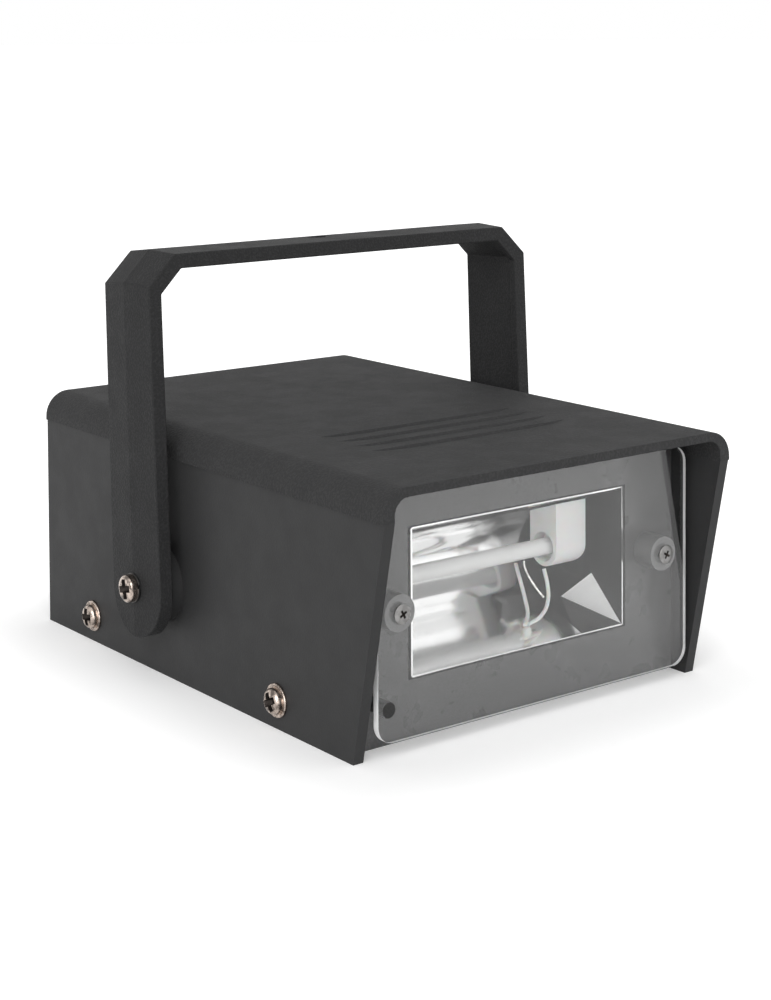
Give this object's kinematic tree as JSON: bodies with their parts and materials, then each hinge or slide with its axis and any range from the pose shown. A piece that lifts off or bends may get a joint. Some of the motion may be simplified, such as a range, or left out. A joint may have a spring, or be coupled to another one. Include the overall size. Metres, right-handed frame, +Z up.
{
  "type": "xenon stroboscope",
  "caption": "Small xenon stroboscope: boxy black housing with a visor over a clear window, mirror and flash tube, a tilting U bracket and a speed knob at the rear.",
  "frame": {"origin": "centre of the base, on the surface that the housing rests on", "axes": "+Z up, the window faces -Y, +X to the viewer's right when looking at the window from the front"},
  "size_m": [0.1048, 0.1368, 0.0881],
  "materials": {
    "black_shell": "semi-gloss moulded, fine texture on top",
    "black_tray": "satin moulded",
    "black_bracket": "semi-gloss moulded",
    "mirror_metal": "polished",
    "clear_plate": "clear, polished edges",
    "clear_post": "clear",
    "tube_glass": "clear, fire polished",
    "electrode_metal": "satin",
    "white_sleeve": "translucent white",
    "lead_sleeve": "white sleeve",
    "nickel": "nickel plated",
    "steel": "zinc plated",
    "board_green": "lacquered laminate",
    "capacitor_sleeve": "shrunk sleeve",
    "coil_body": "potted",
    "resistor_ceramic": "unglazed",
    "diode_body": "moulded",
    "control_body": "plated can",
    "knob_plastic": "satin",
    "inlet_rubber": "matte"
  },
  "bodies": {
    "housing": {"cover": "black_shell", "tray": "black_tray", "reflector": "mirror_metal", "window_plate": "clear_plate", "window_posts": "clear_post", "window_screws": "nickel", "xenon_tube": "tube_glass", "tube_electrodes": "electrode_metal", "tube_holders": "white_sleeve", "lamp_leads": "lead_sleeve", "trigger_wire": "electrode_metal", "lead_eyelet": "white_sleeve", "pivot_screws": "nickel", "cover_screws": "nickel", "circuit_board": "board_green", "storage_capacitors": "capacitor_sleeve", "trigger_transformer": "coil_body", "ballast_resistor": "resistor_ceramic", "rectifier_diodes": "diode_body", "speed_control": "control_body", "control_nut": "steel", "cord_inlet": "inlet_rubber"},
    "bracket": {"bracket": "black_bracket"},
    "speed_knob": {"control_shaft": "steel", "speed_knob": "knob_plastic"}
  },
  "joints": [
    {"name": "bracket_tilt", "type": "hinge", "parent": "housing", "child": "bracket", "pos_m": [0, 0.0131, 0.0194], "axis": [1, 0, 0], "range_deg": [-240, 54]},
    {"name": "speed_knob_turn", "type": "hinge", "parent": "housing", "child": "speed_knob", "pos_m": [0.02, 0.0682, 0.026], "axis": [0, 1, 0], "range_deg": [-150, 150]}
  ]
}
